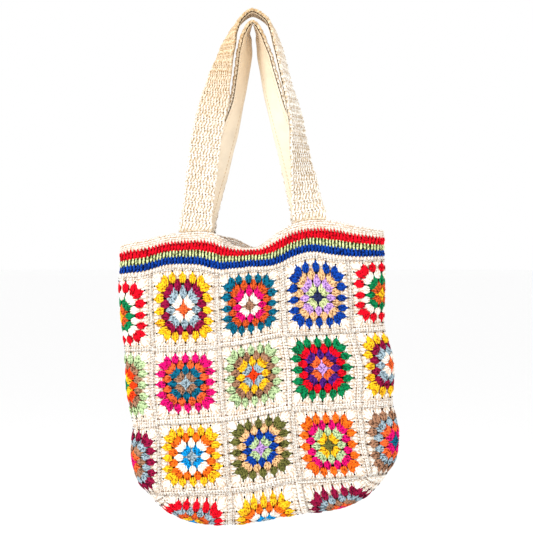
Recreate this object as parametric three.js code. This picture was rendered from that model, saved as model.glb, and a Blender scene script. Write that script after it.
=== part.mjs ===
// A tote bag of crocheted granny squares, hanging by its two handles from one point.
// Millimetres, +Z up. The front faces -Y. The origin is the point that the bag hangs from,
// on the underside of the lining of the inner handle.
import * as THREE from "three";

// Driving sizes of the body
const SQUARE = 104; // one granny square, seam to seam
const WALL = 4; // thickness of the crocheted fabric
const FRONT_DEPTH = 28; // how far the front stands forward of the side folds
const BACK_DEPTH = 24; // how far the back stands behind the side folds
const BODY_SHIFT = -25; // the middle of the body lies this far to the side of the hanging point
const TILT_DEG = 4; // the bag hangs with its right side higher
const COLUMN_STEP = 11; // the seams step up by this across the middle column
const SQUARE_PUFF = 1.5; // how far the middle of a square stands proud of its seams
const BOTTOM_DROP = 50; // the bottom squares fold down this far below the sides
const SEAM_GAP = 0.4; // clear line between two neighbouring pieces

// Driving sizes of the bands above the squares, from the squares up
const BASE_HEIGHT = 5;
const BLUE_HEIGHT = 10;
const GREEN_HEIGHT = 9.5;
const RED_HEIGHT = 10.5;
const RIM_HEIGHT = 15;
const BAND_HEIGHT = BASE_HEIGHT + BLUE_HEIGHT + GREEN_HEIGHT + RED_HEIGHT + RIM_HEIGHT;
const WAVE_LIFT = 10; // how far the handles draw the top edge up

// Driving sizes of the handles
const HANDLE_DROP = 302; // hanging point down to the level of the rim
const STRAP_WIDTH = 45;
const ROOT_WIDTH = 53; // the strap spreads to this where it grows out of the rim
const STRAP_THICKNESS = 5;
const STRAP_CROWN = 0.8; // the strap is this much thinner at its two edges
const LINING_THICKNESS = 1;
const LINING_GAP = 0.8; // the lining lies this far behind the strap
const LINING_MARGIN = 2.5; // crochet left bare beside each edge of the lining
const HANDLE_REST = 7.4; // room between the two handles where they cross the hanging point

// How the pieces are faceted
const FLAT_STEPS = 6; // facets across one square
const FOLD_STEPS = 10; // facets across a square that is folded in half
const STRAP_STEPS = 42; // facets along a handle
const STRAP_COLUMNS = 3; // facets across a handle
const SECTION_STEPS = 60; // walk round one half of the body's section
const CURVE_STEPS = 600; // walk along the middle line of a handle

// Round the body, places are counted in squares: 0 is the left fold, the front squares lie
// from 0.5 to 3.5, the right side square from 3.5 to 4.5, the back squares from 4.5 to 7.5.
const ROUND = 8;
const RIGHT_FOLD = 4.1;
const ROWS = 3;
const COLUMNS = 3;
const FIRST_COLUMN = 0.5;

// Down the body, places are counted in squares from the top of the squares: -1 is the rim.
// Left, right and drop are shares of SQUARE, front and back are shares of their depths. The
// seams beside the folds are shares of half the way round, from their own fold.
const LEVELS = [
  { at: -1.0, drop: 0, left: -1.83, right: 1.87, front: 0.8, back: 0.85, leftSeam: 0.14, rightSeam: 0.16 },
  { at: 0.0, drop: 0, left: -1.86, right: 1.84, front: 0.92, back: 0.95, leftSeam: 0.139, rightSeam: 0.16 },
  { at: 0.5, drop: 0.505, left: -1.87, right: 1.8, front: 0.97, back: 1.0, leftSeam: 0.136, rightSeam: 0.152 },
  { at: 0.9, drop: 0.91, left: -1.85, right: 1.77, front: 0.95, back: 0.97, leftSeam: 0.131, rightSeam: 0.147 },
  { at: 1.5, drop: 1.525, left: -1.86, right: 1.86, front: 1.05, back: 1.05, leftSeam: 0.118, rightSeam: 0.147 },
  { at: 2.0, drop: 2.035, left: -1.81, right: 1.81, front: 1.02, back: 1.02, leftSeam: 0.115, rightSeam: 0.15 },
  { at: 2.4, drop: 2.44, left: -1.86, right: 1.86, front: 1.08, back: 1.08, leftSeam: 0.124, rightSeam: 0.156 },
  { at: 2.75, drop: 2.785, left: -1.81, right: 1.81, front: 1.06, back: 1.08, leftSeam: 0.108, rightSeam: 0.136 },
  { at: 3.0, drop: 3.02, left: -1.65, right: 1.66, front: 1.0, back: 1.05, leftSeam: 0.075, rightSeam: 0.095 },
];

// The wavy top edge: lift is a share of WAVE_LIFT, height a share of BAND_HEIGHT, and lean the
// angle in degrees by which the rim has curled backwards between the roots of the handles.
const TOP_EDGE = [
  { at: 0.0, lift: 0, height: 0.88, lean: 0 },
  { at: 0.3, lift: 0, height: 1, lean: 0 },
  { at: 0.8, lift: 0.8, height: 0.98, lean: 0 },
  { at: 1.2, lift: 0.5, height: 1.05, lean: 0 },
  { at: 1.46, lift: -0.3, height: 1.14, lean: 0 },
  { at: 1.58, lift: -0.5, height: 1.03, lean: 4 },
  { at: 1.72, lift: -0.4, height: 1, lean: 62 },
  { at: 1.86, lift: -0.4, height: 1, lean: 79 },
  { at: 2.02, lift: -0.3, height: 1, lean: 90 },
  { at: 2.15, lift: -0.4, height: 1, lean: 84 },
  { at: 2.32, lift: -0.4, height: 1, lean: 45 },
  { at: 2.48, lift: -0.1, height: 1.05, lean: 0 },
  { at: 2.65, lift: 0.6, height: 1.04, lean: 0 },
  { at: 2.95, lift: 1.2, height: 1.01, lean: 0 },
  { at: 3.3, lift: 0.5, height: 1.1, lean: 0 },
  { at: 3.7, lift: 0, height: 0.97, lean: 0 },
  { at: 4.1, lift: -0.1, height: 0.83, lean: 0 },
  { at: 4.5, lift: 0, height: 0.97, lean: 0 },
  { at: 4.9, lift: 0.8, height: 1, lean: 0 },
  { at: 5.25, lift: 1, height: 1, lean: 0 },
  { at: 5.6, lift: -0.3, height: 1.04, lean: 0 },
  { at: 6.03, lift: -1.3, height: 1, lean: 64 },
  { at: 6.45, lift: -0.4, height: 1.04, lean: 0 },
  { at: 6.85, lift: 0.7, height: 1.02, lean: 0 },
  { at: 7.3, lift: 0.5, height: 1, lean: 0 },
  { at: 7.7, lift: 0, height: 1.03, lean: 0 },
  { at: 8.0, lift: 0, height: 0.88, lean: 0 },
];

// Each leg of a handle from the hanging point to its root. Down is a share of the leg's drop,
// out and depth are shares of the way to its root, and seen is the share of the strap's width
// that shows from the front: 0 where the strap lies edge on, 1 where it faces the front.
const FRONT_LEFT_LEG = [
  { down: 0.036, out: 0.182, depth: 0.04, seen: 0.05 },
  { down: 0.08, out: 0.281, depth: 0.12, seen: 0.2 },
  { down: 0.17, out: 0.393, depth: 0.26, seen: 0.46 },
  { down: 0.31, out: 0.532, depth: 0.5, seen: 0.75 },
  { down: 0.4, out: 0.605, depth: 0.64, seen: 0.95 },
  { down: 0.58, out: 0.76, depth: 0.82, seen: 1 },
  { down: 0.77, out: 0.87, depth: 0.94, seen: 1 },
];
const FRONT_RIGHT_LEG = [
  { down: 0.047, out: 0.35, depth: 0.04, seen: 0.03 },
  { down: 0.096, out: 0.46, depth: 0.12, seen: 0.13 },
  { down: 0.192, out: 0.57, depth: 0.28, seen: 0.22 },
  { down: 0.337, out: 0.69, depth: 0.46, seen: 0.25 },
  { down: 0.53, out: 0.845, depth: 0.66, seen: 0.43 },
  { down: 0.72, out: 0.885, depth: 0.85, seen: 0.66 },
  { down: 0.816, out: 0.92, depth: 0.93, seen: 0.86 },
  { down: 0.912, out: 0.945, depth: 0.98, seen: 0.98 },
];
const BACK_LEFT_LEG = [
  { down: 0.04, out: 0.1, depth: 0.04, seen: 0.05 },
  { down: 0.088, out: 0.13, depth: 0.1, seen: 0.28 },
  { down: 0.16, out: 0.165, depth: 0.22, seen: 0.42 },
  { down: 0.28, out: 0.243, depth: 0.36, seen: 0.38 },
  { down: 0.377, out: 0.315, depth: 0.5, seen: 0.35 },
  { down: 0.568, out: 0.515, depth: 0.76, seen: 0.6 },
  { down: 0.758, out: 0.735, depth: 0.92, seen: 0.85 },
  { down: 0.949, out: 0.945, depth: 1, seen: 1 },
];
const BACK_RIGHT_LEG = [
  { down: 0.044, out: 0.13, depth: 0.04, seen: 0.05 },
  { down: 0.096, out: 0.18, depth: 0.1, seen: 0.22 },
  { down: 0.197, out: 0.259, depth: 0.26, seen: 0.42 },
  { down: 0.399, out: 0.415, depth: 0.5, seen: 0.57 },
  { down: 0.602, out: 0.64, depth: 0.78, seen: 0.8 },
  { down: 0.754, out: 0.785, depth: 0.92, seen: 0.94 },
  { down: 0.931, out: 0.92, depth: 1, seen: 1 },
];
const HANDLES = {
  front: { leftRoot: 1.175, rightRoot: 2.96, left: FRONT_LEFT_LEG, right: FRONT_RIGHT_LEG, facing: -1, restLean: 0 },
  back: { leftRoot: 6.85, rightRoot: 5.22, left: BACK_LEFT_LEG, right: BACK_RIGHT_LEG, facing: 1, restLean: -0.14 },
};

// Shapes of the formulas
const FOLD_POWER = 6; // how late the flat section turns over at the side folds
const BOTTOM_ROUND = 2.2; // curve of the bottom from front to back
const BOTTOM_SQUARENESS = 4.35; // curve of the bottom from side to side
const OWN_NORMAL_WEIGHT = 8; // how soon the bottom takes its own facing, away from its seams
const STEP_EASE = 0.15; // the step in the seams dies away by this share for each column
const STRAP_CROWDING = 0.5; // how much closer the facets of a handle lie at its bend
const LEAST_LEAN = 0.01; // a rim that leans by less, in radians, counts as straight
const PROBE = 0.02; // step for slopes, in squares

const SQUARES_TOP = -HANDLE_DROP - BAND_HEIGHT;

const YARN_ROUGHNESS = 0.95;
const COTTON_ROUGHNESS = 0.85;
const YARNS = {
  cream: 0xf7eedf,
  red: 0xf0122a,
  green: 0xc3cf93,
  blue: 0x0e3fa8,
  cotton: 0xecd3ae,
};

function material(colour, roughness) {
  return new THREE.MeshStandardMaterial({ color: colour, roughness });
}

// The slope of a smooth curve at a row of a table. It is flat at peaks and dips, so that the
// curve never swings past a row.
function slopeAt(rows, name, i) {
  const rise = (k) => (rows[k + 1][name] - rows[k][name]) / (rows[k + 1].at - rows[k].at);
  if (i === 0) return rise(0);
  if (i === rows.length - 1) return rise(i - 1);
  const [before, after] = [rise(i - 1), rise(i)];
  return before * after <= 0 ? 0 : (2 * before * after) / (before + after);
}

// The value of one named column of a table at a place between its rows, on a smooth curve.
function column(rows, name, at) {
  let i = 0;
  while (i < rows.length - 2 && at > rows[i + 1].at) i++;
  const [a, b] = [rows[i], rows[i + 1]];
  const span = b.at - a.at;
  const share = THREE.MathUtils.clamp((at - a.at) / span, 0, 1);
  const [s2, s3] = [share ** 2, share ** 3];
  return (
    (2 * s3 - 3 * s2 + 1) * a[name] + (s3 - 2 * s2 + share) * slopeAt(rows, name, i) * span +
    (3 * s2 - 2 * s3) * b[name] + (s3 - s2) * slopeAt(rows, name, i + 1) * span
  );
}

const smooth = (value, low, high) => THREE.MathUtils.smoothstep(value, low, high);
const wrapped = (around) => THREE.MathUtils.euclideanModulo(around, ROUND);

// One half of the body's section, a flattened oval, as points with their distance along it.
// Each is worked out once and kept.
const sections = new Map();
function halfSection(halfWidth, depth) {
  const key = `${halfWidth} ${depth}`;
  if (sections.has(key)) return sections.get(key);
  const points = [];
  const lengths = [0];
  for (let i = 0; i <= SECTION_STEPS; i++) {
    const across = -Math.cos((Math.PI * i) / SECTION_STEPS);
    const bulge = Math.sqrt(1 - Math.abs(across) ** FOLD_POWER);
    points.push(new THREE.Vector2(halfWidth * across, depth * bulge));
    if (i) lengths.push(lengths[i - 1] + points[i].distanceTo(points[i - 1]));
  }
  sections.set(key, { points, lengths });
  return { points, lengths };
}

// A point on one half of the body's section, at a share of its length.
function sectionPoint(halfWidth, depth, share) {
  const { points, lengths } = halfSection(halfWidth, depth);
  const wanted = share * lengths[SECTION_STEPS];
  let i = 1;
  while (i < SECTION_STEPS && lengths[i] < wanted) i++;
  const part = (wanted - lengths[i - 1]) / (lengths[i] - lengths[i - 1]);
  return points[i - 1].clone().lerp(points[i], part);
}

// The band's rise and backward push at a share of its height, as it curls by the lean.
function curl(edge, share) {
  const length = BAND_HEIGHT * edge.height;
  const lean = THREE.MathUtils.degToRad(edge.lean);
  if (Math.abs(lean) < LEAST_LEAN) return { rise: length * share, push: 0 };
  return {
    rise: (length * Math.sin(lean * share)) / lean,
    push: (length * (1 - Math.cos(lean * share))) / lean,
  };
}

// How far across the body a place lies, from 0 at the left fold to 1 at the right fold.
function shareAcross(place, leftSeam, rightSeam) {
  const isFront = place <= RIGHT_FOLD;
  const lastSeam = FIRST_COLUMN + COLUMNS;
  const backSeam = (rightSeam * (lastSeam + 1 - RIGHT_FOLD)) / (RIGHT_FOLD - lastSeam);
  const ends = isFront
    ? [0, FIRST_COLUMN, lastSeam, RIGHT_FOLD]
    : [ROUND, ROUND - FIRST_COLUMN, lastSeam + 1, RIGHT_FOLD];
  const shares = [0, leftSeam, 1 - (isFront ? rightSeam : backSeam), 1];
  const past = (i) => (place - ends[i]) / (ends[i + 1] - ends[i]);
  const i = past(1) < 0 ? 0 : past(1) <= 1 ? 1 : 2;
  return THREE.MathUtils.lerp(shares[i], shares[i + 1], past(i));
}

// The outer surface of the body and bands, without the puff of the squares.
function bodyPoint(around, down) {
  const place = wrapped(around);
  const level = (name) => column(LEVELS, name, down);
  const [left, right] = [level("left") * SQUARE, level("right") * SQUARE];
  const isFront = place <= RIGHT_FOLD;
  const share = shareAcross(place, level("leftSeam"), level("rightSeam"));
  const depth = isFront ? level("front") * FRONT_DEPTH : level("back") * BACK_DEPTH;
  const flat = sectionPoint((right - left) / 2, depth, share);
  const across = flat.x + (left + right) / 2;
  const lift = column(TOP_EDGE, "lift", place) * WAVE_LIFT;
  const point = new THREE.Vector3(BODY_SHIFT + across, isFront ? -flat.y : flat.y, SQUARES_TOP);
  if (down < 0) {
    const height = column(TOP_EDGE, "height", place);
    const lean = column(TOP_EDGE, "lean", place);
    const { rise, push } = curl({ height, lean }, -down);
    point.z += lift + rise;
    point.y += push;
    return point;
  }
  const inSquares = across / SQUARE;
  const step = smooth(inSquares, -0.5, 0.5) - 0.5 - STEP_EASE * inSquares;
  point.z += lift * (1 - smooth(down, 0, 1)) - level("drop") * SQUARE;
  point.z += step * COLUMN_STEP * smooth(down, 0, 1);
  return point;
}

// The direction that a surface faces, from its slopes along its two counts.
function facing(surface, first, second, firstLimits, secondLimits) {
  const near = (value, step, [low, high]) => THREE.MathUtils.clamp(value + step, low, high);
  const slope = (a, b) => surface(...b).sub(surface(...a));
  const alongFirst = slope(
    [near(first, -PROBE, firstLimits), second],
    [near(first, PROBE, firstLimits), second],
  );
  const alongSecond = slope(
    [first, near(second, -PROBE, secondLimits)],
    [first, near(second, PROBE, secondLimits)],
  );
  return alongSecond.cross(alongFirst).normalize();
}

const ANYWHERE = [-Infinity, Infinity];
const bodyFacing = (around, down) => facing(bodyPoint, around, down, ANYWHERE, [-1, ROWS]);

// How far a square's surface stands proud at a place on it, zero along its seams.
const puff = (first, second) =>
  SQUARE_PUFF * Math.abs(Math.sin(Math.PI * first) * Math.sin(Math.PI * second));

function bodySurface(around, down) {
  const outward = bodyFacing(around, down);
  const proud = down > 0 ? puff(around - FIRST_COLUMN, down) : 0;
  return { point: bodyPoint(around, down).addScaledVector(outward, proud), outward };
}

// The bottom hangs between the four lower edges of the body, folded down along its middle.
function bottomPoint(along, across) {
  const a = along / COLUMNS;
  const front = (u) => bodyPoint(FIRST_COLUMN + u, ROWS);
  const back = (u) => bodyPoint(ROUND - FIRST_COLUMN - u, ROWS);
  const left = bodyPoint(FIRST_COLUMN - across, ROWS);
  const right = bodyPoint(FIRST_COLUMN + COLUMNS + across, ROWS);
  const point = front(along).lerp(back(along), across).add(left.lerp(right, a));
  point.sub(front(0).lerp(front(COLUMNS), a).lerp(back(0).lerp(back(COLUMNS), a), across));
  const acrossShare = 1 - Math.abs(2 * across - 1) ** BOTTOM_ROUND;
  const alongShare = 1 - Math.abs(2 * a - 1) ** BOTTOM_SQUARENESS;
  point.z -= BOTTOM_DROP * acrossShare * alongShare;
  return point;
}

// Along its seams the bottom faces as the sides do, so that the thick edges meet.
function bottomSurface(along, across) {
  const outward = facing(bottomPoint, along, across, [0, COLUMNS], [0, 1]);
  outward.multiplyScalar(OWN_NORMAL_WEIGHT);
  const a = along / COLUMNS;
  const seams = [
    [across, FIRST_COLUMN + along],
    [1 - across, ROUND - FIRST_COLUMN - along],
    [a, FIRST_COLUMN - across],
    [1 - a, FIRST_COLUMN + COLUMNS + across],
  ];
  for (const [distance, around] of seams) {
    outward.addScaledVector(bodyFacing(around, ROWS), 1 / distance);
  }
  outward.normalize();
  const point = bottomPoint(along, across).addScaledVector(outward, puff(along, across));
  return { point, outward };
}

// A closed solid from two grids of points with the same rows and columns, an outer and an
// inner one. With closed set, the last column joins the first, as on a ring.
function solid(outer, inner, closed) {
  const [rows, columns] = [outer.length, outer[0].length];
  const positions = [...outer.flat(), ...inner.flat()].flatMap((p) => [p.x, p.y, p.z]);
  const index = [];
  const id = (side, row, col) => (side * rows + row) * columns + (col % columns);
  const quad = (a, b, c, d) => index.push(a, b, c, a, c, d);
  const lastColumn = closed ? columns : columns - 1;
  for (let row = 0; row < rows - 1; row++) {
    for (let col = 0; col < lastColumn; col++) {
      quad(id(0, row, col), id(0, row + 1, col), id(0, row + 1, col + 1), id(0, row, col + 1));
      quad(id(1, row, col), id(1, row, col + 1), id(1, row + 1, col + 1), id(1, row + 1, col));
    }
  }
  for (let col = 0; col < lastColumn; col++) {
    const last = rows - 1;
    quad(id(0, 0, col), id(0, 0, col + 1), id(1, 0, col + 1), id(1, 0, col));
    quad(id(0, last, col), id(1, last, col), id(1, last, col + 1), id(0, last, col + 1));
  }
  for (let row = 0; row < rows - 1 && !closed; row++) {
    const last = columns - 1;
    quad(id(0, row, 0), id(1, row, 0), id(1, row + 1, 0), id(0, row + 1, 0));
    quad(id(0, row, last), id(0, row + 1, last), id(1, row + 1, last), id(1, row, last));
  }
  const geometry = new THREE.BufferGeometry();
  geometry.setAttribute("position", new THREE.Float32BufferAttribute(positions, 3));
  geometry.setIndex(index);
  geometry.computeVertexNormals();
  return geometry;
}

// A wall of fabric over a list of rows and columns of a surface, WALL thick.
function wall(surface, columns, rows, closed = false) {
  const grid = rows.map((row) => columns.map((col) => surface(col, row)));
  const outer = grid.map((line) => line.map(({ point }) => point));
  const inner = grid.map((line) =>
    line.map(({ point, outward }) => point.clone().addScaledVector(outward, -WALL)),
  );
  return solid(outer, inner, closed);
}

// Places from one seam to the next, drawn in by half the gap at both ends.
function steps(from, to, count, gapShare) {
  const places = Array.from({ length: count + 1 }, (_, i) => from + ((to - from) * i) / count);
  places[0] += gapShare;
  places[count] -= gapShare;
  return places;
}

const HALF_GAP = SEAM_GAP / 2 / SQUARE;

function mesh(name, geometry, surface) {
  const made = new THREE.Mesh(geometry, surface);
  made.name = name;
  return made;
}

// One square of the body, from its first place round and down the body.
function sidePanel(name, around, down, acrossSteps) {
  const columns = steps(around, around + 1, acrossSteps, HALF_GAP);
  const rows = steps(down, down + 1, FLAT_STEPS, HALF_GAP);
  return mesh(name, wall(bodySurface, columns, rows), material(YARNS.cream, YARN_ROUGHNESS));
}

function squares() {
  const made = [];
  for (let row = 0; row < ROWS; row++) {
    for (let col = 0; col < COLUMNS; col++) {
      const place = `r${row + 1}c${col + 1}`;
      const behind = ROUND - FIRST_COLUMN - 1 - col;
      made.push(sidePanel(`front_square_${place}`, FIRST_COLUMN + col, row, FLAT_STEPS));
      made.push(sidePanel(`back_square_${place}`, behind, row, FLAT_STEPS));
    }
    made.push(sidePanel(`left_side_square_${row + 1}`, -FIRST_COLUMN, row, FOLD_STEPS));
    made.push(sidePanel(`right_side_square_${row + 1}`, FIRST_COLUMN + COLUMNS, row, FOLD_STEPS));
  }
  return made;
}

function bottomSquares() {
  return Array.from({ length: COLUMNS }, (_, col) => {
    const along = steps(col, col + 1, FLAT_STEPS, HALF_GAP);
    const across = steps(0, 1, FOLD_STEPS, HALF_GAP);
    const shape = wall(bottomSurface, along, across);
    return mesh(`bottom_square_${col + 1}`, shape, material(YARNS.cream, YARN_ROUGHNESS));
  });
}

// Every place round the bag where a facet of the bands starts, in line with the squares below.
function ringPlaces() {
  const places = [];
  for (let start = 0; start < ROUND; start++) {
    const folded = start === COLUMNS || start === ROUND - 1;
    const count = folded ? FOLD_STEPS : FLAT_STEPS;
    for (let i = 0; i < count; i++) places.push(FIRST_COLUMN + start + i / count);
  }
  return places;
}

// The bands are closed rings, each one above the last, from the squares up to the rim.
function bands() {
  const half = SEAM_GAP / 2 / BAND_HEIGHT;
  const rings = [
    { name: "base_band", height: BASE_HEIGHT, facets: 1, colour: YARNS.cream },
    { name: "blue_stripe", height: BLUE_HEIGHT, facets: 1, colour: YARNS.blue },
    { name: "green_stripe", height: GREEN_HEIGHT, facets: 1, colour: YARNS.green },
    { name: "red_stripe", height: RED_HEIGHT, facets: 1, colour: YARNS.red },
    { name: "rim_band", height: RIM_HEIGHT, facets: 2, colour: YARNS.cream },
  ];
  let below = 0;
  return rings.map(({ name, height, facets, colour }) => {
    const rows = steps(-(below + height) / BAND_HEIGHT, -below / BAND_HEIGHT, facets, half);
    below += height;
    return mesh(name, wall(bodySurface, ringPlaces(), rows, true), material(colour, YARN_ROUGHNESS));
  });
}

// The middle of the rim's thickness at a place round the bag, with the rim's facing and its
// upward direction. The strap grows out of it, one gap above.
function rimEdge(around) {
  const outward = bodyFacing(around, -1);
  const up = bodyPoint(around, -1).sub(bodyPoint(around, -1 + PROBE)).normalize();
  const middle = bodyPoint(around, -1).addScaledVector(outward, -WALL / 2);
  return { point: middle.addScaledVector(up, SEAM_GAP), outward };
}

// The height of the strap's middle over the hanging point: the back handle lies on the hook
// and the front handle lies over the back one.
function restHeight(handle) {
  const first = LINING_THICKNESS + LINING_GAP + STRAP_THICKNESS / 2;
  return handle.facing > 0 ? first : first + HANDLE_REST + LINING_THICKNESS + STRAP_THICKNESS;
}

// The rows of one leg as points with the strap's turn, from the hanging point to its root.
function legRows(handle, rows, root) {
  const { point } = rimEdge(root);
  const top = restHeight(handle);
  return rows.map(({ down, out, depth, seen }) => ({
    point: new THREE.Vector3(point.x * out, point.y * depth, top + (point.z - top) * down),
    seen,
  }));
}

// The middle line of a handle from its left root over the hanging point to its right root.
function handleRows(handle) {
  const leg = (rows, root) => legRows(handle, rows, root);
  const rootRow = (root) => ({ point: rimEdge(root).point, seen: 1 });
  const top = { point: new THREE.Vector3(0, 0, restHeight(handle)), seen: handle.restLean };
  return [
    rootRow(handle.leftRoot),
    ...leg(handle.left, handle.leftRoot).reverse(),
    top,
    ...leg(handle.right, handle.rightRoot),
    rootRow(handle.rightRoot),
  ];
}

// Facets along the strap, closer together where it bends over the hanging point.
function strapShares() {
  return Array.from({ length: STRAP_STEPS + 1 }, (_, i) => {
    const even = (2 * i) / STRAP_STEPS - 1;
    const eased = (1 - STRAP_CROWDING) * Math.abs(even) + STRAP_CROWDING * even ** 2;
    return (1 + Math.sign(even) * eased) / 2;
  });
}

// The strap at one share of its length: its middle, its facing, the direction across it and
// its half width. The crocheted face is where the facing points.
function strapAt(handle, rows, curve, share) {
  const point = curve.getPointAt(share);
  const forward = curve.getTangentAt(share);
  const t = curve.getUtoTmapping(share) * (rows.length - 1);
  const i = Math.min(Math.floor(t), rows.length - 2);
  const seen = THREE.MathUtils.lerp(rows[i].seen, rows[i + 1].seen, smooth(t - i, 0, 1));
  const outward = new THREE.Vector3(-forward.z, 0, forward.x).normalize();
  const across = outward.multiplyScalar(handle.facing * seen);
  across.y -= Math.sqrt(1 - seen ** 2);
  const face = across.clone().cross(forward).normalize();
  across.crossVectors(forward, face);
  const toRoot = Math.min(share, 1 - share) * curve.getLength();
  const flare = 1 - smooth(toRoot, 0, ROOT_WIDTH / 2);
  return { point, face, across, half: (STRAP_WIDTH + (ROOT_WIDTH - STRAP_WIDTH) * flare) / 2 };
}

// One cross line of the strap: points at equal shares from edge to edge, with the facing.
function crossLine(handle, rows, curve, share, margin) {
  const at = strapAt(handle, rows, curve, share);
  const atRoot = share === 0 || share === 1;
  const root = share === 0 ? handle.leftRoot : handle.rightRoot;
  const rootTurn = share === 0 ? 1 : -1;
  return Array.from({ length: STRAP_COLUMNS + 1 }, (_, i) => {
    const most = at.half - margin;
    const place = THREE.MathUtils.clamp((1 - (2 * i) / STRAP_COLUMNS) * at.half, -most, most);
    const crown = STRAP_CROWN * (place / at.half) ** 2;
    if (!atRoot) return { point: at.point.clone().addScaledVector(at.across, place), face: at.face, crown };
    const edge = rimEdge(root + (rootTurn * place) / SQUARE);
    return { point: edge.point, face: edge.outward, crown };
  });
}

const offset = (line, distance, crowned) =>
  line.map(({ point, face, crown }) =>
    point.clone().addScaledVector(face, distance - (crowned ? crown : 0)),
  );

function handlePieces(name, handle) {
  const rows = handleRows(handle);
  const curve = new THREE.CatmullRomCurve3(rows.map(({ point }) => point), false, "centripetal");
  curve.arcLengthDivisions = CURVE_STEPS;
  const shares = strapShares();
  const strapLines = shares.map((share) => crossLine(handle, rows, curve, share, 0));
  const liningLines = shares.map((share) => crossLine(handle, rows, curve, share, LINING_MARGIN));
  const under = -STRAP_THICKNESS / 2;
  const strap = solid(
    strapLines.map((line) => offset(line, STRAP_THICKNESS / 2, true)),
    strapLines.map((line) => offset(line, under, false)),
    false,
  );
  const lining = solid(
    liningLines.map((line) => offset(line, under - LINING_GAP, false)),
    liningLines.map((line) => offset(line, under - LINING_GAP - LINING_THICKNESS, false)),
    false,
  );
  return [
    mesh(`${name}_handle`, strap, material(YARNS.cream, YARN_ROUGHNESS)),
    mesh(`${name}_handle_lining`, lining, material(YARNS.cotton, COTTON_ROUGHNESS)),
  ];
}

const bag = new THREE.Group();
bag.add(...squares(), ...bottomSquares(), ...bands());
bag.add(...handlePieces("front", HANDLES.front), ...handlePieces("back", HANDLES.back));
bag.rotation.y = THREE.MathUtils.degToRad(-TILT_DEG);

export default bag;
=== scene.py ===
"""Looks of a crocheted granny-square tote bag that hangs by its two handles.

Metres, +Z up, the front faces -Y, as in the solids. Every stitch is a small spindle of yarn.
The stitches of a piece are set out flat, as the maker works them, and then laid onto the
curved form that the piece hangs in.
"""

import math

import bmesh
import bpy
import numpy as np
from mathutils import Matrix, Vector


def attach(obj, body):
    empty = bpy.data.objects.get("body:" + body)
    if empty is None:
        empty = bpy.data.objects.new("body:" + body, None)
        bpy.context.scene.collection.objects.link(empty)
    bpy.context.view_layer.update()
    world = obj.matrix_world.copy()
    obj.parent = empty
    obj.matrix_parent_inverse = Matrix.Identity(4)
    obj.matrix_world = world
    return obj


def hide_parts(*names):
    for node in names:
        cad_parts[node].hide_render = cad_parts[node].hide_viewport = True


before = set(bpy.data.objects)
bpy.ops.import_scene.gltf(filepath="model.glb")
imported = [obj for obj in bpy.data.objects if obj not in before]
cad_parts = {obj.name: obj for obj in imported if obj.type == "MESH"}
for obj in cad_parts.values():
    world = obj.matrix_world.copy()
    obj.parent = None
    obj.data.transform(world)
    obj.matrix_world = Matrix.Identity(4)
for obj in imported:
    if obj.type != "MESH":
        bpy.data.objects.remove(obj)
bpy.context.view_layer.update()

# Sizes of the hanging form, as in the solids
SQUARE = 0.104
WALL = 0.004
FRONT_DEPTH = 0.028
BACK_DEPTH = 0.024
BODY_SHIFT = -0.025
TILT = math.radians(4)
COLUMN_STEP = 0.011
STEP_EASE = 0.15
SQUARE_PUFF = 0.0015
BOTTOM_DROP = 0.050
BAND_HEIGHTS = {"base": 0.005, "blue": 0.010, "green": 0.0095, "red": 0.0105, "rim": 0.015}
BAND_HEIGHT = sum(BAND_HEIGHTS.values())
WAVE_LIFT = 0.010
HANDLE_DROP = 0.302
STRAP_WIDTH = 0.045
ROOT_WIDTH = 0.053
STRAP_THICKNESS = 0.005
LINING_THICKNESS = 0.001
LINING_GAP = 0.0008
LINING_MARGIN = 0.0025
HANDLE_REST = 0.0074
SEAM_GAP = 0.0004
ROUND = 8
RIGHT_FOLD = 4.1
ROWS = 3
COLUMNS = 3
FIRST_COLUMN = 0.5
FOLD_POWER = 6
BOTTOM_ROUND = 2.2
BOTTOM_SQUARENESS = 4.35
OWN_NORMAL_WEIGHT = 8
ROOT_FADE = 0.012  # a handle takes on the rim's lean over this length
GRID = 24  # grid steps to a square
SECTION_STEPS = 60
CURVE_STEPS = 1200
HANDLE_STEPS = 240
STEPS_ACROSS = 12
SQUARES_TOP = -HANDLE_DROP - BAND_HEIGHT

# Forms down the body: each row starts with its place, in squares from the top of the squares.
LEVEL_NAMES = ("at", "drop", "left", "right", "front", "back", "left_seam", "right_seam")
LEVELS = (
    (-1.0, 0, -1.83, 1.87, 0.8, 0.85, 0.14, 0.16),
    (0.0, 0, -1.86, 1.84, 0.92, 0.95, 0.139, 0.16),
    (0.5, 0.505, -1.87, 1.8, 0.97, 1.0, 0.136, 0.152),
    (0.9, 0.91, -1.85, 1.77, 0.95, 0.97, 0.131, 0.147),
    (1.5, 1.525, -1.86, 1.86, 1.05, 1.05, 0.118, 0.147),
    (2.0, 2.035, -1.81, 1.81, 1.02, 1.02, 0.115, 0.15),
    (2.4, 2.44, -1.86, 1.86, 1.08, 1.08, 0.124, 0.156),
    (2.75, 2.785, -1.81, 1.81, 1.06, 1.08, 0.108, 0.136),
    (3.0, 3.02, -1.65, 1.66, 1.0, 1.05, 0.075, 0.095),
)

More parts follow.
